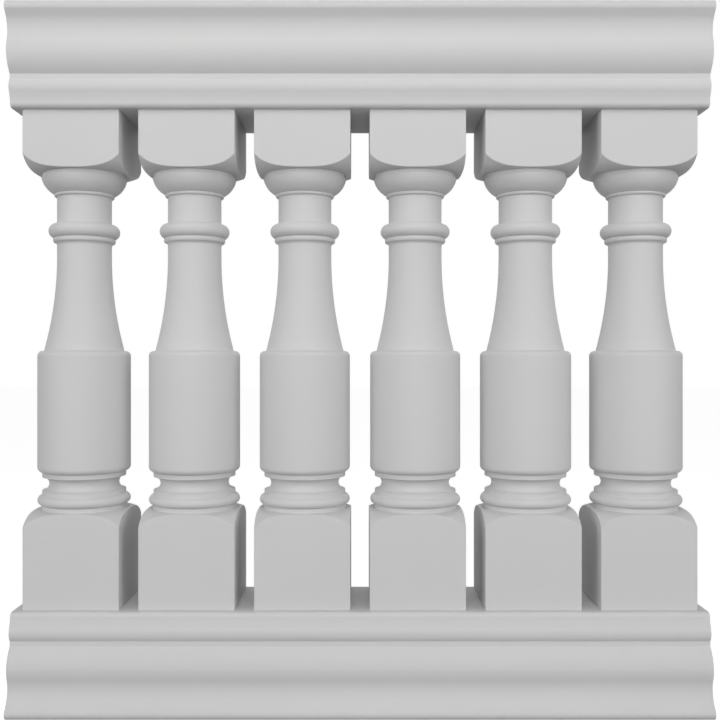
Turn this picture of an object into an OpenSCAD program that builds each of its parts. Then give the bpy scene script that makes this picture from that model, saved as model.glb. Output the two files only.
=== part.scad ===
// Balustrade panel in moulded fibreglass: six turned balusters with square blocks
// between a top rail and a bottom rail of the same moulding, the lower one upside down.
// Origin: middle of the base, on the floor. +X along the rails, -Y the front, +Z up.

/* [Spacing] */
// Centre to centre distance of the balusters
pitch = 152.4; // [140:0.1:200]

/* [Baluster blocks] */
// Width and depth of the square blocks
block_w = 127; // [112:0.1:136]
// Height of the lower block, up to the middle of its domed top
low_block_h = 127; // [90:0.5:180]
// Height of the upper block, from the middle of its domed underside
high_block_h = 76; // [50:0.1:130]
// How far the flat in the middle of each dome stays inside the blocks' faces
dome_flat_in = 5.1; // [4:0.1:8]
// Radius of the curve that falls from the flat to the block's corners
dome_curve_r = 36; // [35:0.5:60]

/* [Base mouldings] */
// Height of the low round fillet that stands on the block
base_fillet_h = 5.6; // [1:0.1:10]
// How far that fillet stays inside the blocks' faces
base_fillet_in = 6.5; // [5.2:0.1:9]
// Height of the torus
torus_h = 13.5; // [10:0.1:24]
// How far the torus swells beyond the rings
torus_swell = 6; // [3:0.1:7]
// How far the two thin rings stay inside the blocks' faces
ring_in = 7.7; // [6.5:0.1:12]
// Height of each thin ring's upright edge
ring_edge_h = 6.35; // [2:0.05:8]
// How far in the throat begins, measured from the rings
throat_step = 0.6; // [0.5:0.1:3]
// Height of the throat between the rings
throat_h = 18.3; // [14:0.1:26]
// Depth of the throat's hollow
throat_depth = 8.6; // [4:0.1:9.5]

/* [Drum and shaft] */
// How far the drum stays inside the blocks' faces
drum_in = 1.35; // [0.5:0.05:5]
// Height of the drum's rounded foot
drum_foot_h = 8.7; // [5:0.1:14]
// Height of the drum's upright side
drum_side_h = 149.9; // [100:0.1:220]
// Rounding of the drum's top edge
drum_edge_r = 7; // [2:0.1:8]
// How far in the shaft leaves the drum, measured from the blocks' faces
shaft_foot_in = 10; // [9:0.1:16]
// Height over which the shaft narrows
shaft_taper_h = 129.5; // [90:0.5:180]
// Radius of the neck
neck_r = 36.5; // [30:0.1:42]
// Height of the straight neck under the neck ring
low_neck_h = 15.1; // [8:0.1:50]

/* [Neck ring and capital] */
// Height of the flare from the neck to the fillet under the neck ring
flare_h = 4.1; // [2:0.1:8]
// How far that fillet stands out from the neck
flare_out = 4.1; // [2:0.1:6]
// Height of that fillet
neck_fillet_h = 6.4; // [2:0.1:8]
// How far that fillet swells
neck_fillet_swell = 1.2; // [0.5:0.1:2]
// How far the neck ring's foot stands out from the neck
neck_ring_out = 5.1; // [4:0.1:8]
// Height of the round neck ring
neck_ring_h = 18.4; // [10:0.1:24]
// How far the neck ring swells beyond its foot
neck_ring_swell = 6.1; // [3:0.1:8]
// Height of the plain neck above the ring
high_neck_h = 37.3; // [20:0.1:70]
// Height of the thin ring under the bowl
bowl_ring_h = 4.1; // [3:0.1:10]
// How far the foot of that ring stands out from the neck
bowl_ring_foot = 1.2; // [0.5:0.1:3]
// How far its head stands out from the neck
bowl_ring_out = 3; // [1:0.1:6]
// How far it swells between the two
bowl_ring_swell = 1.5; // [0.5:0.1:2]
// Height of the bowl
bowl_h = 21.9; // [16:0.1:36]
// How far the bowl's lip stays inside the blocks' faces
bowl_in = 6.5; // [5.2:0.1:9]
// How far the bowl bulges out of the straight line from foot to lip
bowl_bulge = 3.3; // [1:0.1:6]
// Height of the plain edge above the bowl
bowl_edge_h = 4.9; // [2:0.1:8]
// How far that edge stands back from the bowl's lip
bowl_edge_in = 1.6; // [0.5:0.1:4]

/* [Rail moulding] */
// Overhang of the fascia beyond the blocks
fascia_over = 10.2; // [9:0.1:16]
// Rounding of the fascia's edge on the side of the balusters
arris_r = 6.6; // [4:0.1:8]
// Height of the fascia, its rounded edge included
fascia_h = 12.7; // [10:0.1:24]
// How far the fascia leans outwards
fascia_lean = 0.6; // [0:0.1:2]
// Height of the slope between fascia and bead
slope_h = 8.1; // [4:0.1:12]
// How far that slope runs outwards
slope_out = 3.3; // [1:0.1:4]
// Height of the bead
bead_h = 15.6; // [8:0.1:20]
// How far the bead swells
bead_swell = 2.1; // [1:0.1:5]
// Overhang of the fillet above the bead
fillet_over = 11.2; // [10:0.1:16]
// Height of that fillet
fillet_h = 7.4; // [4:0.1:16]
// Overhang of the ovolo, the widest swell under the cove
ovolo_over = 24; // [20:0.1:28]
// Height of the ovolo below its widest place
ovolo_low_h = 26.6; // [16:0.1:36]
// Height of the ovolo above its widest place
ovolo_high_h = 15.9; // [8:0.1:24]
// How far the ovolo draws in again before the cove
ovolo_return = 3.1; // [1:0.1:5]
// Bulge of the ovolo's lower curve
ovolo_bulge = 2.6; // [1:0.1:5]
// Height of the cove
cove_h = 27.5; // [16:0.1:36]
// Depth of the cove's hollow
cove_depth = 3; // [1:0.1:5]
// How far the cove's upper end stands out from its lower end
cove_out = 3.6; // [1:0.1:5]
// Height of the sloping underside that leads up to the nosing
nosing_under = 4.55; // [1:0.05:8]
// Overhang of the nosing, the widest part of the rail
nosing_over = 31.75; // [29:0.05:40]
// Radius of the nosing's round edge
nosing_r = 7.5; // [6:0.1:12]

/* [Walls] */
// Thickness of the rail shells
shell_t = 6; // [4:0.5:8]
// Thickness of the panels that close the rails on the side of the balusters
panel_t = 8; // [5:0.5:10]
// Thickness of the plates in the rails' ends
end_t = 6; // [4:0.5:12]

/* [Hidden] */

BALUSTERS = 6;
GELCOAT = "gainsboro";
// Steps in each arc of an outline, and facets of a turned piece when previewed
ARC_STEPS = 6;
TURN_FN = 96;

// Small step that sets a moulding off from its neighbour
STEP = 0.5;
// Bulge of a drum's foot, of a small hollow and of the ovolo's upper curve
FOOT_BULGE = 2;
FLARE_HOLLOW = 1;
SOFT_BULGE = 0.7;
// How far a cutting shape reaches past what it cuts
CUT = 1;

// Points of the arc from p to q. The arc stands off the chord by rise: outwards, to the
// right of the way from p to q, where rise is positive, and inwards where it is negative.
function arc_radius(p, q, rise) = (norm(q - p) ^ 2 / 4 + rise ^ 2) / (2 * rise);
function arc_centre(p, q, rise) =
    let (along = (q - p) / norm(q - p), out = [along[1], -along[0]])
    (p + q) / 2 + out * (rise - arc_radius(p, q, rise));
function arc(p, q, rise) =
    let (c = arc_centre(p, q, rise),
         start = atan2(p[1] - c[1], p[0] - c[0]),
         turn = atan2(cross(p - c, q - c), (p - c) * (q - c)))
    [for (i = [0 : ARC_STEPS])
        c + norm(p - c) * [cos(start + turn * i / ARC_STEPS), sin(start + turn * i / ARC_STEPS)]];

// Points of the circle of radius r about c, from angle a to angle b
function round_edge(c, r, a, b) =
    [for (i = [0 : ARC_STEPS])
        let (t = a + (b - a) * i / ARC_STEPS)
        c + r * [cos(t), sin(t)]];

// ---- Baluster: levels above its foot ----
block_half = block_w / 2;
// The turned outline reaches just past the block's corners, and the square cuts it there
block_reach = block_half * sqrt(2) + CUT;
dome_flat_r = block_half - dome_flat_in;
dome_turn = asin((block_reach - dome_flat_r) / dome_curve_r);
base_fillet_r = block_half - base_fillet_in;
ring_r = block_half - ring_in;
throat_r = ring_r - throat_step;
drum_r = block_half - drum_in;
shaft_foot_r = block_half - shaft_foot_in;
bowl_r = block_half - bowl_in;

z_fillet = low_block_h;
z_torus = z_fillet + base_fillet_h;
z_low_ring = z_torus + torus_h;
z_throat = z_low_ring + ring_edge_h;
z_high_ring = z_throat + throat_h;
z_drum = z_high_ring + ring_edge_h;
z_drum_side = z_drum + drum_foot_h;
z_shaft = z_drum_side + drum_side_h + drum_edge_r;
z_neck = z_shaft + shaft_taper_h;
z_flare = z_neck + low_neck_h;
z_neck_fillet = z_flare + flare_h;
z_neck_ring = z_neck_fillet + neck_fillet_h;
z_high_neck = z_neck_ring + neck_ring_h;
z_bowl_ring = z_high_neck + high_neck_h;
z_bowl = z_bowl_ring + bowl_ring_h;
z_bowl_edge = z_bowl + bowl_h;
z_high_block = z_bowl_edge + bowl_edge_h;
baluster_h = z_high_block + high_block_h;

neck_fillet_r = neck_r + flare_out;
neck_ring_r = neck_r + neck_ring_out;
bowl_ring_r = neck_r + bowl_ring_foot;
bowl_foot_r = neck_r + bowl_ring_out;
bowl_edge_r = bowl_r - bowl_edge_in;
// Rise of the arc along which the shaft narrows, upright where it meets the neck
shaft_chord = norm([shaft_foot_r - neck_r, shaft_taper_h]);
shaft_curve_r = shaft_chord ^ 2 / (2 * (shaft_foot_r - neck_r));
shaft_rise = shaft_curve_r - sqrt(shaft_curve_r ^ 2 - shaft_chord ^ 2 / 4);

// Outline of the turned baluster, [radius, height], from the foot up
function dome_low() = round_edge([dome_flat_r, low_block_h - dome_curve_r],
    dome_curve_r, 90 - dome_turn, 90);
function dome_high() = round_edge([dome_flat_r, z_high_block + dome_curve_r],
    dome_curve_r, -90, -90 + dome_turn);

function base_outline() = concat(
    [[base_fillet_r, z_fillet], [base_fillet_r, z_torus]],
    arc([ring_r + STEP, z_torus], [ring_r, z_low_ring], torus_swell),
    [[ring_r, z_throat]],
    arc([throat_r, z_throat], [throat_r, z_high_ring], -throat_depth),
    [[ring_r, z_high_ring]]
);

function shaft_outline() = concat(
    [[ring_r, z_drum]],
    arc([ring_r + STEP, z_drum], [drum_r, z_drum_side], FOOT_BULGE),
    round_edge([drum_r - drum_edge_r, z_shaft - drum_edge_r], drum_edge_r, 0, 90),
    arc([shaft_foot_r, z_shaft], [neck_r, z_neck], -shaft_rise),
    arc([neck_r, z_flare], [neck_fillet_r, z_neck_fillet], -FLARE_HOLLOW)
);

function capital_outline() = concat(
    arc([neck_fillet_r, z_neck_fillet], [neck_fillet_r, z_neck_ring], neck_fillet_swell),
    arc([neck_ring_r, z_neck_ring], [neck_ring_r, z_high_neck], neck_ring_swell),
    [[neck_r, z_high_neck], [neck_r, z_bowl_ring]],
    arc([bowl_ring_r, z_bowl_ring], [bowl_foot_r, z_bowl], bowl_ring_swell),
    arc([bowl_foot_r + STEP, z_bowl], [bowl_r, z_bowl_edge], bowl_bulge),
    [[bowl_edge_r, z_bowl_edge], [bowl_edge_r, z_high_block]]
);

module turned_baluster() {
    intersection() {
        rotate_extrude($fn = TURN_FN)
            polygon(concat(
                [[0, 0], [block_reach, 0]],
                dome_low(), base_outline(), shaft_outline(), capital_outline(), dome_high(),
                [[block_reach, baluster_h], [0, baluster_h]]
            ));
        translate([-block_half, -block_half, 0]) cube([block_w, block_w, baluster_h]);
    }
}

// ---- Rail: levels above the face that meets the balusters ----
h_bead = fascia_h + slope_h;
h_fillet = h_bead + bead_h;
h_ovolo = h_fillet + fillet_h;
h_ovolo_widest = h_ovolo + ovolo_low_h;
h_cove = h_ovolo_widest + ovolo_high_h;
h_nosing = h_cove + cove_h;
rail_h = h_nosing + nosing_under + 2 * nosing_r;

rail_len = BALUSTERS * pitch;
rail_half = block_half + nosing_over;
fascia_half = block_half + fascia_over;
fillet_half = block_half + fillet_over;
ovolo_half = block_half + ovolo_over;
cove_half = ovolo_half - ovolo_return;
// The slope under the nosing touches its round edge, so their meeting is worked out
nosing_centre = [rail_half - nosing_r, rail_h - nosing_r];
nosing_foot = [cove_half + cove_out, h_nosing];
nosing_way = nosing_foot - nosing_centre;
nosing_start = atan2(nosing_way[1], nosing_way[0]) + acos(nosing_r / norm(nosing_way));

// Half outline of the rail, [half depth, height], from the balusters' side to its far face
function rail_outline() = concat(
    round_edge([fascia_half - arris_r, arris_r], arris_r, -90, 0),
    [[fascia_half + fascia_lean, fascia_h]],
    arc([fascia_half + fascia_lean + slope_out, h_bead], [fillet_half + STEP, h_fillet], bead_swell),
    [[fillet_half, h_fillet], [fillet_half, h_ovolo]],
    arc([fillet_half + STEP, h_ovolo], [ovolo_half, h_ovolo_widest], ovolo_bulge),
    arc([ovolo_half, h_ovolo_widest], [cove_half, h_cove], SOFT_BULGE),
    arc([cove_half, h_cove], nosing_foot, -cove_depth),
    round_edge(nosing_centre, nosing_r, nosing_start, 0),
    round_edge(nosing_centre, nosing_r, 0, 90)
);

// Half outline of the hollow inside the rail: upright behind the fascia, bead and fillet,
// wider behind the ovolo and cove, which keep at least the shell's thickness
lip_half = fascia_half - arris_r;
hollow_half = cove_half - cove_depth / 2 - shell_t;
function hollow_outline() = [
    [lip_half, 0], [lip_half, h_ovolo], [hollow_half, h_ovolo_widest],
    [hollow_half, rail_h - shell_t]
];

// The half outline and its mirror image, joined into one closed outline
function both_sides(half) = concat(half,
    [for (i = [len(half) - 1 : -1 : 0]) [-half[i][0], half[i][1]]]);

// Runs a half outline, made whole, along X from one place to another
module run_along(half, from_x, to_x) {
    translate([from_x, 0, 0])
        rotate([90, 0, 90])
            linear_extrude(height = to_x - from_x)
                polygon(both_sides(half));
}

module rail_shell() {
    difference() {
        run_along(rail_outline(), -rail_len / 2, rail_len / 2);
        run_along(hollow_outline(), -rail_len / 2 - CUT, rail_len / 2 + CUT);
    }
}

// Flat panel between the lips of the shell, flush with them
module rail_panel() {
    translate([-rail_len / 2, -lip_half, 0]) cube([rail_len, 2 * lip_half, panel_t]);
}

// Plate in the open end of the shell, standing on the panel, flush with the shell's end
module rail_end(from_x) {
    difference() {
        run_along(hollow_outline(), from_x, from_x + end_t);
        translate([from_x - CUT, -rail_half, -CUT])
            cube([end_t + 2 * CUT, 2 * rail_half, panel_t + CUT]);
    }
}

// Places a rail piece with its panel face down on the balusters' heads, or turned over
// with the same face up under their feet
module on_top() { translate([0, 0, rail_h + baluster_h]) children(); }
module underneath() { translate([0, 0, rail_h]) mirror([0, 0, 1]) children(); }

module bottom_rail_shell() { color(GELCOAT) underneath() rail_shell(); }
module bottom_rail_deck() { color(GELCOAT) underneath() rail_panel(); }
module bottom_rail_end_left() { color(GELCOAT) underneath() rail_end(-rail_len / 2); }
module bottom_rail_end_right() { color(GELCOAT) underneath() rail_end(rail_len / 2 - end_t); }
module top_rail_shell() { color(GELCOAT) on_top() rail_shell(); }
module top_rail_soffit() { color(GELCOAT) on_top() rail_panel(); }
module top_rail_end_left() { color(GELCOAT) on_top() rail_end(-rail_len / 2); }
module top_rail_end_right() { color(GELCOAT) on_top() rail_end(rail_len / 2 - end_t); }

// Baluster number i of the row, counted from the left
module baluster(i) {
    color(GELCOAT)
        translate([(i - (BALUSTERS + 1) / 2) * pitch, 0, rail_h])
            turned_baluster();
}

bottom_rail_shell();
bottom_rail_deck();
bottom_rail_end_left();
bottom_rail_end_right();
baluster(1);  // baluster_1
baluster(2);  // baluster_2
baluster(3);  // baluster_3
baluster(4);  // baluster_4
baluster(5);  // baluster_5
baluster(6);  // baluster_6
top_rail_shell();
top_rail_soffit();
top_rail_end_left();
top_rail_end_right();
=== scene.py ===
"""Looks of a moulded fibreglass balustrade panel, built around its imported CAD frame."""
import logging
import math
from dataclasses import dataclass, field
from enum import Enum
from typing import Optional, Sequence, Union

import bpy
import numpy as np
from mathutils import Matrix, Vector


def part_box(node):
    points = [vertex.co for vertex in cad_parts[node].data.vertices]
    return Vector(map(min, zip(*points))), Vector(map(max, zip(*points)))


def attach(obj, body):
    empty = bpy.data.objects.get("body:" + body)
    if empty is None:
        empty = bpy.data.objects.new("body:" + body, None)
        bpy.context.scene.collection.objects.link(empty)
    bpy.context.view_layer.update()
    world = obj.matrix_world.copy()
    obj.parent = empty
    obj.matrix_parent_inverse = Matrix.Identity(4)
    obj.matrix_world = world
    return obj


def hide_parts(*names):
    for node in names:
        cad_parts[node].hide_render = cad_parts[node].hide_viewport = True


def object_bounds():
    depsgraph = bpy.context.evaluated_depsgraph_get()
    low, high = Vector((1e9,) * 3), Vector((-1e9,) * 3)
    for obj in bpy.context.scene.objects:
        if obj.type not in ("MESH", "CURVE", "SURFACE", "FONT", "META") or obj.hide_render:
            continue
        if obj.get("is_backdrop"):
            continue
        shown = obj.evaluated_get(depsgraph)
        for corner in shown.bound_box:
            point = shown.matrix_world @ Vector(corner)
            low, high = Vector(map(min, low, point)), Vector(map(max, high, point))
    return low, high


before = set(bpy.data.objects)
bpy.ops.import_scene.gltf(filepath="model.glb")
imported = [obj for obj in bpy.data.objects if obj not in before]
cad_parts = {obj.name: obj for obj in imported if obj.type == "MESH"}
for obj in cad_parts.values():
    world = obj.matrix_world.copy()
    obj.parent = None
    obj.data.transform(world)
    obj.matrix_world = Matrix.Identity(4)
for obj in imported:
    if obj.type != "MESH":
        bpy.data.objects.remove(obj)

LOG = logging.getLogger("balustrade")
MM = 0.001
BODY = "root"
# Fineness of the surfaces: segments in an arc, in a long, a small and a bead's arc, in a
# softened edge, in an eighth of a block's outline and in half of its round corner
ARC_STEPS = 12
LONG_ARC_STEPS = 24
SMALL_ARC_STEPS = 6
BEAD_STEPS = 8
EDGE_STEPS = 4
FACE_STEPS = 20
CORNER_STEPS = 3
# Points closer than this, in millimetres, are one; a smaller area has no normal
SAME_PLACE = 1e-9
NO_AREA = 1e-12
# Share of a short side that the rounding of a corner at its end may take
SIDE_SHARE = 0.45
# Numbers of a Mix node's sockets for colours
MIX_SHARE, MIX_FIRST, MIX_SECOND, MIX_RESULT = 0, 6, 7, 2

Point = tuple[float, float]
Number = Union[float, "Shade"]


class Slot(Enum):
    """Material slots of the record that the pieces take their finish from."""

    BALUSTER = "baluster_gelcoat"
    RAIL = "rail_gelcoat"
    PANEL = "panel_gelcoat"


class Level(Enum):
    """Which way up a rail's moulding lies."""

    TOP = "top"
    BOTTOM = "bottom"


# ---------------------------------------------------------------- outlines


def arc(start: Point, end: Point, rise: float, steps: int = ARC_STEPS) -> np.ndarray:
    """Points of a circular arc between two points.

    The chord's middle is moved by the rise to its right-hand side. The radius is the
    half chord squared plus the rise squared, over twice the rise.

    Args:
        start: First point.
        end: Last point.
        rise: Height of the arc over its chord, negative for a hollow.
        steps: Segments along the arc.

    Returns:
        The points, one row each.
    """
    p, q = np.array(start, float), np.array(end, float)
    chord = q - p
    length = float(np.hypot(*chord))
    radius = (length**2 / 4 + rise**2) / (2 * rise)
    right = np.array([chord[1], -chord[0]]) / length
    centre = (p + q) / 2 + right * (rise - radius)
    first = math.atan2(*(p - centre)[::-1])
    cross = (p - centre)[0] * (q - centre)[1] - (p - centre)[1] * (q - centre)[0]
    turn = math.atan2(cross, float(np.dot(p - centre, q - centre)))
    angle = first + turn * np.linspace(0, 1, steps + 1)
    return centre + abs(radius) * np.column_stack([np.cos(angle), np.sin(angle)])


def circle_part(centre: Point, radius: float, low: float, high: float) -> np.ndarray:
    """Points of a circle between two angles in degrees.

    Args:
        centre: The circle's middle.
        radius: Its radius.
        low: Angle of the first point.
        high: Angle of the last point.

    Returns:
        The points, one row each.
    """
    angle = np.radians(np.linspace(low, high, ARC_STEPS + 1))
    return np.array(centre) + radius * np.column_stack([np.cos(angle), np.sin(angle)])


def softened(outline: np.ndarray, reach: float, sharp: float = 20.0) -> np.ndarray:
    """Rounds the corners of an outline.

    Each corner that turns more than the sharp angle becomes a parabola, which leaves the
    two sides at the reach from the corner, or at under half of a shorter side.

    Args:
        outline: Points of the outline, one row each.
        reach: Distance from a corner at which its rounding begins.
        sharp: Smallest turn in degrees that counts as a corner.

    Returns:
        The points of the softened outline.
    """
    step = np.diff(outline, axis=0)
    outline = outline[np.r_[True, np.hypot(*step.T) > SAME_PLACE]]
    side = np.diff(outline, axis=0)
    length = np.hypot(*side.T)
    way = side / length[:, None]
    into = np.vstack([way[:1], way])
    out = np.vstack([way, way[-1:]])
    turn = np.degrees(np.arccos(np.clip((into * out).sum(1), -1, 1)))
    corner = turn > sharp
    room = SIDE_SHARE * np.minimum(np.r_[length[:1], length], np.r_[length, length[-1:]])
    trim = np.where(corner, np.minimum(reach, room), 0)[:, None]
    t = np.linspace(0, 1, EDGE_STEPS + 1)[None, :, None]
    before, after = outline - into * trim, outline + out * trim
    curve = ((1 - t) ** 2 * before[:, None] + 2 * t * (1 - t) * outline[:, None]
             + t**2 * after[:, None])
    keep = corner[:, None] | (np.arange(EDGE_STEPS + 1) == 0)[None, :]
    return curve[keep]


def square_reach(angle: np.ndarray, half: float, corner: float) -> np.ndarray:
    """Distance from the middle of a square with rounded corners to its edge.

    Along a side it is the half width over the larger of the angle's cosine and sine; at
    a corner it is the far root of the corner circle's equation.

    Args:
        angle: Directions in radians.
        half: Half of the square's width.
        corner: Radius of its corners.

    Returns:
        The distance in each direction.
    """
    c, s = np.abs(np.cos(angle)), np.abs(np.sin(angle))
    centre = half - corner
    on_side = half / np.maximum(c, s)
    total = centre * (c + s)
    on_corner = total + np.sqrt(np.maximum(total**2 - 2 * centre**2 + corner**2, 0))
    return np.where(on_side * np.minimum(c, s) > centre, on_corner, on_side)


def block_angles(half: float, corner: float) -> np.ndarray:
    """Directions round a square block, close together where its corners are round.

    Args:
        half: Half of the block's width.
        corner: Radius of its corners.

    Returns:
        The directions in radians, once round, the first one 0.
    """
    edge = math.atan2(half - corner, half)
    face = np.linspace(0, edge, FACE_STEPS, endpoint=False)
    rounded = np.linspace(edge, math.pi / 4, CORNER_STEPS, endpoint=False)
    eighth = np.r_[face, rounded]
    mirrored = math.pi / 2 - eighth[:0:-1]
    quarter = np.r_[eighth, math.pi / 4, mirrored]
    return (quarter[None, :] + math.pi / 2 * np.arange(4)[:, None]).ravel()


# ------------------------------------------------------------------ meshes


def weighted_normals(points: np.ndarray, faces: np.ndarray) -> np.ndarray:
    """Normals of the vertices, each face counting by its area.

    A face's normal is the cross product of its diagonals, as long as twice its area, and
    a vertex takes the sum over its faces, so wide flat faces stay flat beside thin ones.

    Args:
        points: Vertices, one row each.
        faces: Four corners of each face; a triangle repeats its last corner.

    Returns:
        One unit normal a vertex.
    """
    corner = points[faces]
    normal = np.cross(corner[:, 2] - corner[:, 0], corner[:, 3] - corner[:, 1])
    total = np.zeros_like(points)
    unique = faces[:, 3] != faces[:, 2]
    for k in range(3):
        np.add.at(total, faces[:, k], normal)
    np.add.at(total, faces[unique, 3], normal[unique])
    return total / np.maximum(np.linalg.norm(total, axis=1, keepdims=True), NO_AREA)


def new_piece(name: str, points: np.ndarray, faces: np.ndarray) -> bpy.types.Object:
    """Makes an object at the origin from vertices and faces.

    Args:
        name: Name of the object and its mesh.
        points: Vertices in metres, one row each.
        faces: Four corners of each face; a triangle repeats its last corner.

    Returns:
        The object, smooth shaded with area weighted normals.
    """
    triangle = faces[:, 3] == faces[:, 2]
    count = np.where(triangle, 3, 4)
    start = np.r_[0, np.cumsum(count)[:-1]]
    used = np.ones(faces.shape, bool)
    used[triangle, 3] = False
    mesh = bpy.data.meshes.new(name)
    mesh.vertices.add(len(points))
    mesh.vertices.foreach_set("co", points.astype(np.float32).ravel())
    mesh.loops.add(int(count.sum()))
    mesh.loops.foreach_set("vertex_index", faces[used].astype(np.int32))
    mesh.polygons.add(len(faces))
    mesh.polygons.foreach_set("loop_start", start.astype(np.int32))
    mesh.update(calc_edges=True)
    mesh.validate()
    mesh.polygons.foreach_set("use_smooth", np.ones(len(mesh.polygons), bool))
    mesh.normals_split_custom_set_from_vertices(weighted_normals(points, faces))
    piece = bpy.data.objects.new(name, mesh)
    bpy.context.scene.collection.objects.link(piece)
    return piece


def strip_faces(rows: np.ndarray, columns: int) -> np.ndarray:
    """Quads between each ring of vertices and the next, closed round the rings.

    Args:
        rows: Number of the first vertex of each ring.
        columns: Vertices in a ring.

    Returns:
        Four corners of each face, seen anticlockwise from outside.
    """
    here = np.arange(columns)
    after = np.roll(here, -1)
    low, high = rows[:-1, None], rows[1:, None]
    quad = np.stack([low + here, low + after, high + after, high + here], axis=-1)
    return quad.reshape(-1, 4)


# ---------------------------------------------------------------- finishes


class Shade:
    """A node's output socket on which arithmetic adds Math nodes."""

    def __init__(self, graph: "Graph", socket: Optional[bpy.types.NodeSocket]) -> None:
        """Keeps the socket and the graph that it belongs to."""
        self.graph = graph
        self.socket = socket

    def _math(self, operation: str, first: Number, second: Number) -> "Shade":
        """Adds one Math node and returns its value."""
        settings = {"operation": operation}
        return self.graph.node("ShaderNodeMath", settings, {0: first, 1: second}, "Value")

    def __add__(self, other: Number) -> "Shade":
        """Sum with a number or another value."""
        return self._math("ADD", self, other)

    __radd__ = __add__

    def __sub__(self, other: Number) -> "Shade":
        """This value less the other."""
        return self._math("SUBTRACT", self, other)

    def __rsub__(self, other: Number) -> "Shade":
        """The other less this value."""
        return self._math("SUBTRACT", other, self)

    def __mul__(self, other: Number) -> "Shade":
        """Product with a number or another value."""
        return self._math("MULTIPLY", self, other)

    __rmul__ = __mul__


class Graph:
    """The node tree of one material or world."""

    def __init__(self, owner: Union[bpy.types.Material, bpy.types.World]) -> None:
        """Empties the owner's node tree and keeps it.

        Args:
            owner: The material or world.
        """
        owner.use_nodes = True
        self.tree = owner.node_tree
        self.tree.nodes.clear()

    def node(self, kind: str, settings: dict, inputs: dict, output: Union[str, int] = 0) -> Shade:
        """Adds a node.

        Args:
            kind: Type name of the node.
            settings: Attributes of the node, set first.
            inputs: Values or links by the name or number of their socket.
            output: Name or number of the output socket that is wanted.

        Returns:
            The chosen output, ready for arithmetic; an output node has none.
        """
        made = self.tree.nodes.new(kind)
        for key, value in settings.items():
            setattr(made, key, value)
        for key, value in inputs.items():
            if isinstance(value, Shade):
                self.tree.links.new(value.socket, made.inputs[key])
            else:
                made.inputs[key].default_value = value
        return Shade(self, made.outputs[output] if len(made.outputs) else None)

    def noise(self, where: Shade, scale: float, detail: float, rough: float = 0.55) -> Shade:
        """Smooth noise from 0 to 1, with the given count of bumps a metre."""
        inputs = {"Vector": where, "Scale": scale, "Detail": detail, "Roughness": rough}
        return self.node("ShaderNodeTexNoise", {"noise_dimensions": "3D"}, inputs, 0)


@dataclass(frozen=True)
class Gelcoat:
    """Satin gelcoat over glass fibre: a pale grey with faint clouds and orange peel."""

    name: str
    light: tuple[float, float, float] = (0.66, 0.66, 0.658)
    deep: tuple[float, float, float] = (0.62, 0.62, 0.619)
    roughness: float = 0.56
    roughness_play: float = 0.08
    clouds_per_m: float = 7.0
    grain_per_m: float = 260.0
    peel_per_m: float = 520.0
    ripple_per_m: float = 38.0
    cloud_share: float = 0.75
    ripple_share: float = 2.0
    peel_height: float = 0.00002
    peel_strength: float = 0.35
    specular: float = 0.15

    def material(self) -> bpy.types.Material:
        """Builds the node material.

        Returns:
            A material whose colour, roughness and bump come from noise in object space.
        """
        made = bpy.data.materials.new(self.name)
        graph = Graph(made)
        where = graph.node("ShaderNodeTexCoord", {}, {}, "Object")
        clouds = graph.noise(where, self.clouds_per_m, 3.0)
        grain = graph.noise(where, self.grain_per_m, 1.0)
        peel = graph.noise(where, self.peel_per_m, 1.0)
        ripple = graph.noise(where, self.ripple_per_m, 2.0)
        tone = clouds * self.cloud_share + grain * (1 - self.cloud_share)
        colour = graph.node("ShaderNodeMix", {"data_type": "RGBA"},
                            {MIX_SHARE: tone, MIX_FIRST: (*self.deep, 1),
                             MIX_SECOND: (*self.light, 1)}, MIX_RESULT)
        rough = self.roughness + (clouds - 0.5) * self.roughness_play
        height = peel + ripple * self.ripple_share
        normal = graph.node("ShaderNodeBump", {}, {
            "Strength": self.peel_strength,
            "Distance": self.peel_height,
            "Height": height,
        })
        surface = graph.node("ShaderNodeBsdfPrincipled", {}, {
            "Base Color": colour,
            "Roughness": rough,
            "Specular IOR Level": self.specular,
            "Normal": normal,
        })
        graph.node("ShaderNodeOutputMaterial", {}, {"Surface": surface})
        return made


# ------------------------------------------------------------ sub-assemblies


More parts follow.
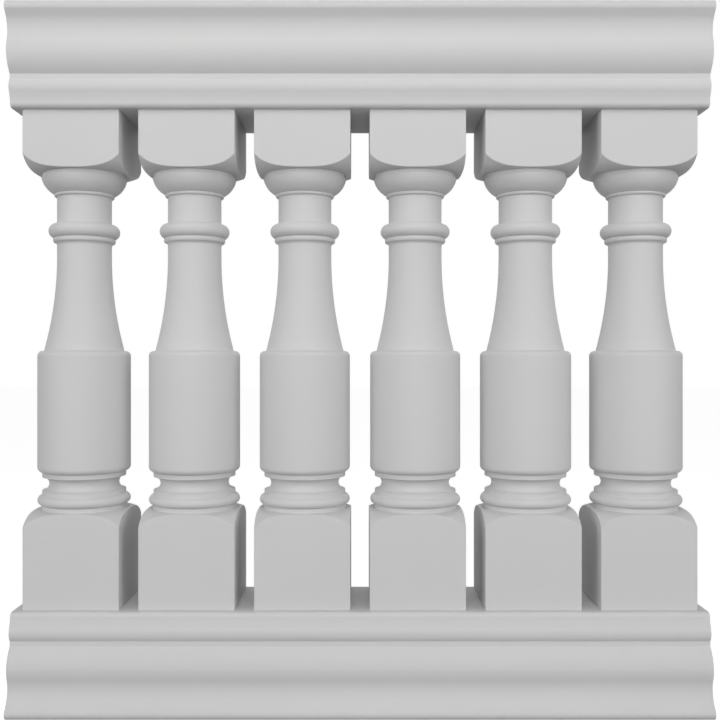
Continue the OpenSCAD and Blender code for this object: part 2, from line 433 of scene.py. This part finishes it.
@dataclass
class Baluster:
    """One turned baluster with a square block at each end, sizes in millimetres."""

    node: str
    low_block_h: float = 127.0
    high_block_h: float = 76.0
    dome_flat_in: float = 5.1
    dome_curve_r: float = 36.0
    base_fillet_h: float = 5.6
    base_fillet_in: float = 6.5
    torus_h: float = 13.5
    torus_swell: float = 6.0
    ring_in: float = 7.7
    ring_edge_h: float = 6.35
    throat_step: float = 0.6
    throat_h: float = 18.3
    throat_depth: float = 8.6
    drum_in: float = 1.35
    drum_foot_h: float = 8.7
    drum_foot_bulge: float = 2.0
    drum_side_h: float = 149.9
    drum_edge_r: float = 7.0
    shaft_foot_in: float = 10.0
    shaft_taper_h: float = 129.5
    neck_r: float = 36.5
    low_neck_h: float = 15.1
    flare_h: float = 4.1
    flare_out: float = 4.1
    neck_fillet_h: float = 6.4
    neck_fillet_swell: float = 1.2
    neck_ring_out: float = 5.1
    neck_ring_h: float = 18.4
    neck_ring_swell: float = 6.1
    high_neck_h: float = 37.3
    bowl_ring_h: float = 4.1
    bowl_ring_foot: float = 1.2
    bowl_ring_out: float = 3.0
    bowl_ring_swell: float = 1.5
    bowl_h: float = 21.9
    bowl_in: float = 6.5
    bowl_bulge: float = 3.3
    bowl_edge_in: float = 1.6
    flare_hollow: float = 1.0
    step: float = 0.5
    block_arris: float = 1.0
    turned_arris: float = 0.6
    dome_rows: int = 10
    half: float = field(init=False)
    height: float = field(init=False)
    centre: np.ndarray = field(init=False)

    def __post_init__(self) -> None:
        """Takes the block's width, the height and the place from the CAD node's box."""
        low, high = (np.array(corner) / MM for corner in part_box(self.node))
        self.half = float(high[0] - low[0]) / 2
        self.height = float(high[2] - low[2])
        self.centre = np.array([(low[0] + high[0]) / 2, (low[1] + high[1]) / 2, low[2]])

    def dome_drop(self, radius: np.ndarray) -> np.ndarray:
        """How far a dome has fallen at a radius: curve radius less its circle's height."""
        beyond = np.maximum(radius - (self.half - self.dome_flat_in), 0)
        return self.dome_curve_r - np.sqrt(self.dome_curve_r**2 - beyond**2)

    def turned_outline(self) -> np.ndarray:
        """Outline of the turned part between the two domes.

        Returns:
            Radius and height of each point, from the lower dome's flat upwards.
        """
        ring_r = self.half - self.ring_in
        throat_r = ring_r - self.throat_step
        drum_r = self.half - self.drum_in
        foot_r = self.half - self.shaft_foot_in
        bowl_r = self.half - self.bowl_in
        fillet_r = self.half - self.base_fillet_in
        neck_fillet_r = self.neck_r + self.flare_out
        neck_ring_r = self.neck_r + self.neck_ring_out
        bowl_foot_r = self.neck_r + self.bowl_ring_out
        bowl_edge_r = bowl_r - self.bowl_edge_in

        z = self.low_block_h
        parts = [np.array([[self.half - self.dome_flat_in, z], [fillet_r, z],
                           [fillet_r, z + self.base_fillet_h]])]
        z += self.base_fillet_h
        parts.append(arc((ring_r + self.step, z), (ring_r, z + self.torus_h), self.torus_swell))
        z += self.torus_h + self.ring_edge_h
        parts.append(np.array([[ring_r, z]]))
        parts.append(arc((throat_r, z), (throat_r, z + self.throat_h), -self.throat_depth,
                         LONG_ARC_STEPS))
        z += self.throat_h
        parts.append(np.array([[ring_r, z], [ring_r, z + self.ring_edge_h]]))
        z += self.ring_edge_h
        parts.append(arc((ring_r + self.step, z), (drum_r, z + self.drum_foot_h),
                         self.drum_foot_bulge))
        z += self.drum_foot_h + self.drum_side_h + self.drum_edge_r
        parts.append(circle_part((drum_r - self.drum_edge_r, z - self.drum_edge_r),
                                 self.drum_edge_r, 0, 90))
        taper = (foot_r - self.neck_r, self.shaft_taper_h)
        chord = math.hypot(*taper)
        curve_r = chord**2 / (2 * taper[0])
        rise = curve_r - math.sqrt(curve_r**2 - chord**2 / 4)
        parts.append(arc((foot_r, z), (self.neck_r, z + self.shaft_taper_h), -rise,
                         LONG_ARC_STEPS))
        z += self.shaft_taper_h + self.low_neck_h
        parts.append(arc((self.neck_r, z), (neck_fillet_r, z + self.flare_h),
                         -self.flare_hollow, SMALL_ARC_STEPS))
        z += self.flare_h
        parts.append(arc((neck_fillet_r, z), (neck_fillet_r, z + self.neck_fillet_h),
                         self.neck_fillet_swell))
        z += self.neck_fillet_h
        parts.append(arc((neck_ring_r, z), (neck_ring_r, z + self.neck_ring_h),
                         self.neck_ring_swell))
        z += self.neck_ring_h
        parts.append(np.array([[self.neck_r, z], [self.neck_r, z + self.high_neck_h]]))
        z += self.high_neck_h
        parts.append(arc((self.neck_r + self.bowl_ring_foot, z),
                         (bowl_foot_r, z + self.bowl_ring_h), self.bowl_ring_swell,
                         BEAD_STEPS))
        z += self.bowl_ring_h
        parts.append(arc((bowl_foot_r + self.step, z), (bowl_r, z + self.bowl_h),
                         self.bowl_bulge))
        z += self.bowl_h
        top = self.height - self.high_block_h
        parts.append(np.array([[bowl_edge_r, z], [bowl_edge_r, top],
                               [self.half - self.dome_flat_in, top]]))
        return softened(np.vstack(parts), self.turned_arris)

    def block_rows(self, reach: np.ndarray) -> tuple[np.ndarray, np.ndarray]:
        """Rings of the lower block from its foot to the edge of the dome's flat.

        Each direction has the same section: a softened edge at the foot, the upright
        face, a softened edge along the arch where face and dome meet, and the dome.

        Args:
            reach: Distance from the axis to the block's face in each direction.

        Returns:
            Radius and depth below the dome's flat, ring by direction.
        """
        arris = self.block_arris
        flat_r = self.half - self.dome_flat_in
        arch = self.dome_drop(reach)
        quarter = np.linspace(0, math.pi / 2, EDGE_STEPS + 1)[:, None]
        foot_r = reach - arris + arris * np.sin(quarter)
        foot_z = self.low_block_h - arris * (1 - np.cos(quarter)) + 0 * reach
        t = np.linspace(0, 1, EDGE_STEPS + 1)[:, None]
        inner = reach - arris
        inner_z = self.dome_drop(inner)
        edge_r = (1 - t) ** 2 * reach + 2 * t * (1 - t) * reach + t**2 * inner
        edge_z = (1 - t) ** 2 * (arch + arris) + 2 * t * (1 - t) * arch + t**2 * inner_z
        s = np.linspace(0, 1, self.dome_rows + 1)[1:-1, None]
        dome_r = inner + (flat_r - inner) * s
        radius = np.vstack([foot_r, edge_r, dome_r])
        depth = np.vstack([foot_z, edge_z, self.dome_drop(dome_r)])
        return radius, depth

    def build(self) -> bpy.types.Object:
        """Builds the baluster's closed surface and lets it stand for its CAD node.

        Its rings run from the foot's middle up the lower block, over the turned part and
        up the upper block to the head's middle. A ring's points are radius times the
        cosine and sine of their direction, and height.

        Returns:
            The baluster.
        """
        angle = block_angles(self.half, self.block_arris)
        reach = square_reach(angle, self.half, self.block_arris)
        radius, depth = self.block_rows(reach)
        turned = self.turned_outline()
        spread = np.ones((1, len(angle)))
        high_flat = self.height - self.high_block_h
        stretch = self.high_block_h - self.low_block_h
        upper_depth = depth + stretch * (depth > self.low_block_h - 2 * self.block_arris)
        ring_r = np.vstack([radius, turned[:, :1] * spread, radius[::-1]])
        ring_z = np.vstack([self.low_block_h - depth, turned[:, 1:] * spread,
                            high_flat + upper_depth[::-1]])
        rings = np.stack([ring_r * np.cos(angle), ring_r * np.sin(angle), ring_z], axis=-1)
        middle = [[0, 0, 0], [0, 0, self.height]]
        points = (np.vstack([rings.reshape(-1, 3), middle]) + self.centre) * MM

        columns = len(angle)
        rows = np.arange(len(rings)) * columns
        foot, head = len(points) - 2, len(points) - 1
        here = np.arange(columns)
        after = np.roll(here, -1)
        last = rows[-1]
        under = np.column_stack([here * 0 + foot, after, here, here])
        over = np.column_stack([here * 0 + head, last + here, last + after, last + after])
        faces = np.vstack([strip_faces(rows, columns), under, over])
        piece = new_piece(self.node + "_moulding", points, faces)
        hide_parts(self.node)
        return piece


@dataclass
class Rail:
    """A hollow moulded rail with its flat panel and end plates, sizes in millimetres."""

    level: Level
    nodes: dict[str, str]
    block_half: float
    arris_r: float = 6.6
    fascia_over: float = 10.2
    fascia_h: float = 12.7
    fascia_lean: float = 0.6
    slope_h: float = 8.1
    slope_out: float = 3.3
    bead_h: float = 15.6
    bead_swell: float = 2.1
    fillet_over: float = 11.2
    fillet_h: float = 7.4
    ovolo_over: float = 24.0
    ovolo_low_h: float = 26.6
    ovolo_high_h: float = 15.9
    ovolo_return: float = 3.1
    ovolo_bulge: float = 2.6
    soft_bulge: float = 0.7
    cove_h: float = 27.5
    cove_depth: float = 3.0
    cove_out: float = 3.6
    nosing_r: float = 7.5
    shell_t: float = 6.0
    step: float = 0.5
    end_arris: float = 0.6
    moulding_arris: float = 1.2
    half_depth: float = field(init=False)
    height: float = field(init=False)
    reach: float = field(init=False)
    base: float = field(init=False)

    def __post_init__(self) -> None:
        """Takes the rail's length, depth, height and place from the shell's CAD box."""
        low, high = (np.array(corner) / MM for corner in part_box(self.nodes["shell"]))
        self.reach = float(high[0] - low[0]) / 2
        self.half_depth = float(high[1] - low[1]) / 2
        self.height = float(high[2] - low[2])
        self.base = float(low[2] if self.level is Level.TOP else high[2])

    def side_outline(self) -> np.ndarray:
        """Outer outline of one side, from the lip at the panel to the flat far face.

        Returns:
            Half depth and height above the balusters' side of each point.
        """
        fascia = self.block_half + self.fascia_over
        slope_top = fascia + self.fascia_lean + self.slope_out
        fillet = self.block_half + self.fillet_over
        ovolo = self.block_half + self.ovolo_over
        cove = ovolo - self.ovolo_return
        parts = [circle_part((fascia - self.arris_r, self.arris_r), self.arris_r, -90, 0)]
        z = self.fascia_h
        parts.append(np.array([[fascia + self.fascia_lean, z]]))
        z += self.slope_h
        parts.append(arc((slope_top, z), (fillet + self.step, z + self.bead_h), self.bead_swell))
        z += self.bead_h
        parts.append(np.array([[fillet, z], [fillet, z + self.fillet_h]]))
        z += self.fillet_h
        parts.append(arc((fillet + self.step, z), (ovolo, z + self.ovolo_low_h),
                         self.ovolo_bulge))
        z += self.ovolo_low_h
        parts.append(arc((ovolo, z), (cove, z + self.ovolo_high_h), self.soft_bulge))
        z += self.ovolo_high_h
        foot = np.array([cove + self.cove_out, z + self.cove_h])
        parts.append(arc((cove, z), tuple(foot), -self.cove_depth))
        centre = np.array([self.half_depth - self.nosing_r, self.height - self.nosing_r])
        way = foot - centre
        lean = math.acos(self.nosing_r / math.hypot(*way))
        first = math.degrees(math.atan2(way[1], way[0]) + lean)
        parts.append(circle_part(tuple(centre), self.nosing_r, first, 90))
        return softened(np.vstack(parts), self.moulding_arris)

    def hollow_outline(self) -> np.ndarray:
        """Outline of one side of the hollow, from the lip to the middle of the far wall.

        Returns:
            Half depth and height above the balusters' side of each point.
        """
        lip = self.block_half + self.fascia_over - self.arris_r
        wide = (self.block_half + self.ovolo_over - self.ovolo_return
                - self.cove_depth / 2 - self.shell_t)
        low = self.fascia_h + self.slope_h + self.bead_h + self.fillet_h
        top = self.height - self.shell_t
        return np.array([[lip, 0], [lip, low], [wide, low + self.ovolo_low_h], [wide, top],
                         [0, top]])

    def section(self) -> tuple[np.ndarray, np.ndarray]:
        """Outer and inner outline of the shell's whole section, matched point by point.

        The outer one runs from one lip over the far face to the other lip. The inner one
        has a point at the same share of its own length for each point of the outer one.

        Returns:
            Depth and height of the outer points, and of the inner ones.
        """
        side = self.side_outline()
        outer = np.vstack([side, [[0, self.height]]])
        hollow = self.hollow_outline()

        def share(line: np.ndarray) -> np.ndarray:
            """Share of the line's length at each of its points."""
            run = np.r_[0, np.cumsum(np.hypot(*np.diff(line, axis=0).T))]
            return run / run[-1]

        at, known = share(outer), share(hollow)
        inner = np.column_stack([np.interp(at, known, hollow[:, k]) for k in range(2)])
        mirror = np.array([-1.0, 1.0])
        whole = [np.vstack([half, half[-2::-1] * mirror]) for half in (outer, inner)]
        return whole[0], whole[1]

    def shell(self) -> bpy.types.Object:
        """Builds the hollow shell and lets it stand for its CAD node.

        The section's closed loop, the outer outline and then the inner one backwards, is
        carried along the rail. Near each end it shrinks by a quarter circle, which softens
        the end's edges, and quads between the two outlines close the end.

        Returns:
            The shell.
        """
        outer, inner = self.section()
        loop = np.vstack([outer, inner[::-1]])
        ahead = np.roll(loop, -1, axis=0) - np.roll(loop, 1, axis=0)
        ahead /= np.maximum(np.hypot(*ahead.T), SAME_PLACE)[:, None]
        inwards = np.column_stack([-ahead[:, 1], ahead[:, 0]])
        quarter = np.linspace(0, math.pi / 2, EDGE_STEPS + 1)
        shrink = np.r_[1 - np.cos(quarter[::-1]), 1 - np.cos(quarter)] * self.end_arris
        along = self.reach - self.end_arris * (1 - np.sin(quarter))
        place = np.r_[-along[::-1], along]
        flat = loop[None] + inwards[None] * shrink[:, None, None]
        turned = -1.0 if self.level is Level.BOTTOM else 1.0
        x = np.broadcast_to(place[:, None], flat.shape[:2])
        points = np.stack([x, flat[..., 0], self.base + turned * flat[..., 1]], axis=-1)
        columns = len(loop)
        rows = np.arange(len(place)) * columns
        count = len(outer)
        step = np.arange(count - 1)
        back = columns - 1 - step
        cap = np.column_stack([step, step + 1, back - 1, back])
        faces = np.vstack([strip_faces(rows, columns), cap[:, ::-1], cap + rows[-1]])
        if self.level is Level.BOTTOM:
            faces = faces[:, ::-1]
        piece = new_piece(self.nodes["shell"] + "_moulding", points.reshape(-1, 3) * MM, faces)
        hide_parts(self.nodes["shell"])
        return piece


# ------------------------------------------------------------------- studio


@dataclass(frozen=True)
class Lamp:
    """A square soft lamp, with its place and the length of its sides in metres."""

    name: str
    place: tuple[float, float, float]
    size: float
    watts: float

    def hang(self, aim: np.ndarray) -> None:
        """Adds the lamp to the scene.

        Args:
            aim: Point that it faces.
        """
        data = bpy.data.lights.new(self.name, "AREA")
        data.shape = "SQUARE"
        data.size = self.size
        data.energy = self.watts
        made = bpy.data.objects.new(self.name, data)
        way = aim - np.array(self.place)
        flat = math.hypot(way[0], way[1])
        made.location = self.place
        made.rotation_euler = (math.atan2(flat, -way[2]), 0, math.atan2(-way[0], way[1]))
        bpy.context.scene.collection.objects.link(made)


# In front, higher and lower in front, and at the two front corners
LAMPS = (
    Lamp("front", (0.0, -2.5, 1.2), 1.5, 8.0),
    Lamp("over", (0.0, -1.7, 2.3), 1.2, 14.8),
    Lamp("low", (0.0, -2.2, 0.35), 0.6, 4.4),
    Lamp("left", (-2.3, -1.7, 1.0), 1.2, 17.6),
    Lamp("right", (2.3, -1.7, 1.0), 1.2, 17.6),
)


@dataclass
class Studio:
    """Pale floor, soft light and the camera, placed from the object's box in metres."""

    low: np.ndarray
    high: np.ndarray
    block_front: float
    camera_distance: float = 1.2302
    lens_mm: float = 46.735
    sensor_mm: float = 36.0
    sight: float = 100.0
    floor_size: float = 30.0
    floor_drop: float = 0.0005
    floor_grey: float = 0.3
    floor_glow: float = 0.9
    front_side_glow: float = 0.71
    back_glow: float = 1.7
    front_side_way: tuple[float, float, float] = (0.703, -0.703, 0.105)
    back_way: tuple[float, float, float] = (0.0, 0.989, 0.148)
    lobe_power: float = 4.0

    def camera(self) -> None:
        """Sets a level camera in front of the middle, without shift or depth of field."""
        middle = (self.low + self.high) / 2
        data = bpy.data.cameras.new("camera")
        data.sensor_width = self.sensor_mm
        data.lens = self.lens_mm
        data.clip_end = self.sight
        made = bpy.data.objects.new("camera", data)
        made.location = (middle[0], self.block_front - self.camera_distance, middle[2])
        made.rotation_euler = (math.pi / 2, 0, 0)
        bpy.context.scene.collection.objects.link(made)
        bpy.context.scene.camera = made

    def background_rays(self, graph: Graph) -> Shade:
        """Tells the rays that see the background from those that light the panel.

        Args:
            graph: Node tree that uses it.

        Returns:
            1 for rays from the camera and for reflected or refracted ones, otherwise 0.
        """
        names = ("Is Camera Ray", "Is Glossy Ray", "Is Transmission Ray")
        rays = [graph.node("ShaderNodeLightPath", {}, {}, name) for name in names]
        total = rays[0] + rays[1] + rays[2]
        return graph.node("ShaderNodeClamp", {}, {"Value": total})

    def lobe(self, parts: Sequence[Shade], axis: Sequence[float], glow: float) -> Shade:
        """A soft patch of light in the surroundings.

        It glows with the power of the cosine between a direction and the patch's middle,
        and is 0 on the far side.

        Args:
            parts: The three components of the direction.
            axis: Unit vector to the patch's middle.
            glow: Its strength there.

        Returns:
            The patch's strength in the direction.
        """
        cosine = parts[0] * axis[0] + parts[1] * axis[1] + parts[2] * axis[2]
        graph = cosine.graph
        facing = graph.node("ShaderNodeMath", {"operation": "MAXIMUM"}, {0: cosine, 1: 0.0})
        power = graph.node("ShaderNodeMath", {"operation": "POWER"},
                           {0: facing, 1: self.lobe_power})
        return power * glow

    def world(self) -> None:
        """White to the camera; soft patches at the front's sides and behind for the light."""
        made = bpy.data.worlds.new("studio")
        graph = Graph(made)
        way = graph.node("ShaderNodeTexCoord", {}, {}, "Generated")
        unit = graph.node("ShaderNodeVectorMath", {"operation": "NORMALIZE"}, {0: way})
        x, y, z = (graph.node("ShaderNodeSeparateXYZ", {}, {0: unit}, k) for k in range(3))
        aside = graph.node("ShaderNodeMath", {"operation": "ABSOLUTE"}, {0: x})
        glow = (self.lobe((aside, y, z), self.front_side_way, self.front_side_glow)
                + self.lobe((x, y, z), self.back_way, self.back_glow))
        seen = self.background_rays(graph)
        strength = glow * (1.0 - seen) + seen
        white = {"Color": (1, 1, 1, 1), "Strength": strength}
        light = graph.node("ShaderNodeBackground", {}, white)
        graph.node("ShaderNodeOutputWorld", {}, {"Surface": light})
        bpy.context.scene.world = made

    def floor(self) -> None:
        """A pale floor that looks white and still takes the object's shadow."""
        half = self.floor_size / 2
        z = float(self.low[2]) - self.floor_drop
        corners = np.array([[-half, -half, z], [half, -half, z], [half, half, z], [-half, half, z]])
        piece = new_piece("floor", corners, np.array([[0, 1, 2, 3]]))
        made = bpy.data.materials.new("floor")
        graph = Graph(made)
        grey = (self.floor_grey,) * 3 + (1,)
        matt = graph.node("ShaderNodeBsdfDiffuse", {}, {"Color": grey})
        glow = graph.node("ShaderNodeEmission", {}, {
            "Color": (1, 1, 1, 1),
            "Strength": self.background_rays(graph) * self.floor_glow,
        })
        both = graph.node("ShaderNodeAddShader", {}, {0: matt, 1: glow})
        graph.node("ShaderNodeOutputMaterial", {}, {"Surface": both})
        piece.data.materials.append(made)
        piece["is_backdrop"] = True

    def build(self) -> None:
        """Sets up the camera, world, floor and lamps."""
        self.camera()
        self.world()
        self.floor()
        for lamp in LAMPS:
            lamp.hang((self.low + self.high) / 2)
        bpy.context.scene.view_settings.view_transform = "Standard"


# --------------------------------------------------------------------- panel


@dataclass
class Balustrade:
    """The whole panel: its balusters, its two rails and their finishes."""

    gelcoats: dict[Slot, bpy.types.Material] = field(default_factory=dict)

    def mix_gelcoats(self) -> None:
        """Builds one material for each slot."""
        self.gelcoats[Slot.BALUSTER] = Gelcoat("baluster_gelcoat").material()
        self.gelcoats[Slot.RAIL] = Gelcoat("rail_gelcoat", clouds_per_m=5.0).material()
        self.gelcoats[Slot.PANEL] = Gelcoat("panel_gelcoat", ripple_per_m=30.0).material()

    def dress(self, piece: bpy.types.Object, slot: Slot) -> None:
        """Gives a new piece its material, slot and body.

        Args:
            piece: The piece.
            slot: The record's material slot.
        """
        piece.data.materials.append(self.gelcoats[slot])
        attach(piece, BODY)
        LOG.info("%s: %d faces, %s", piece.name, len(piece.data.polygons), slot.value)

    def dress_node(self, name: str, slot: Slot) -> None:
        """Gives a CAD node that stays its material, on the object and not on the mesh.

        Args:
            name: The CAD node.
            slot: The record's material slot.
        """
        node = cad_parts[name]
        if not node.material_slots:
            node.data.materials.append(self.gelcoats[slot])
        for place in node.material_slots:
            place.link = "OBJECT"
            place.material = self.gelcoats[slot]
        LOG.info("%s keeps its CAD shape, %s", name, slot.value)

    def build(self) -> float:
        """Builds every piece.

        Returns:
            Where the blocks' front faces are, in metres.
        """
        self.mix_gelcoats()
        names = sorted(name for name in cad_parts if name.startswith("baluster"))
        front = 0.0
        half = 0.0
        for name in names:
            baluster = Baluster(name)
            self.dress(baluster.build(), Slot.BALUSTER)
            half = baluster.half
            front = (float(baluster.centre[1]) - half) * MM
        for level, panel in ((Level.TOP, "soffit"), (Level.BOTTOM, "deck")):
            stem = level.value + "_rail_"
            nodes = {"shell": stem + "shell", "panel": stem + panel}
            rail = Rail(level, nodes, half)
            self.dress(rail.shell(), Slot.RAIL)
            self.dress_node(nodes["panel"], Slot.PANEL)
            for side in ("left", "right"):
                self.dress_node(stem + "end_" + side, Slot.PANEL)
        return front


def main() -> None:
    logging.basicConfig(level=logging.INFO, format="%(name)s: %(message)s")
    cad_low, cad_high = (np.array(corner, float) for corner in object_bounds())
    front = Balustrade().build()
    Studio(cad_low, cad_high, front).build()


if __name__ == "__main__":
    main()
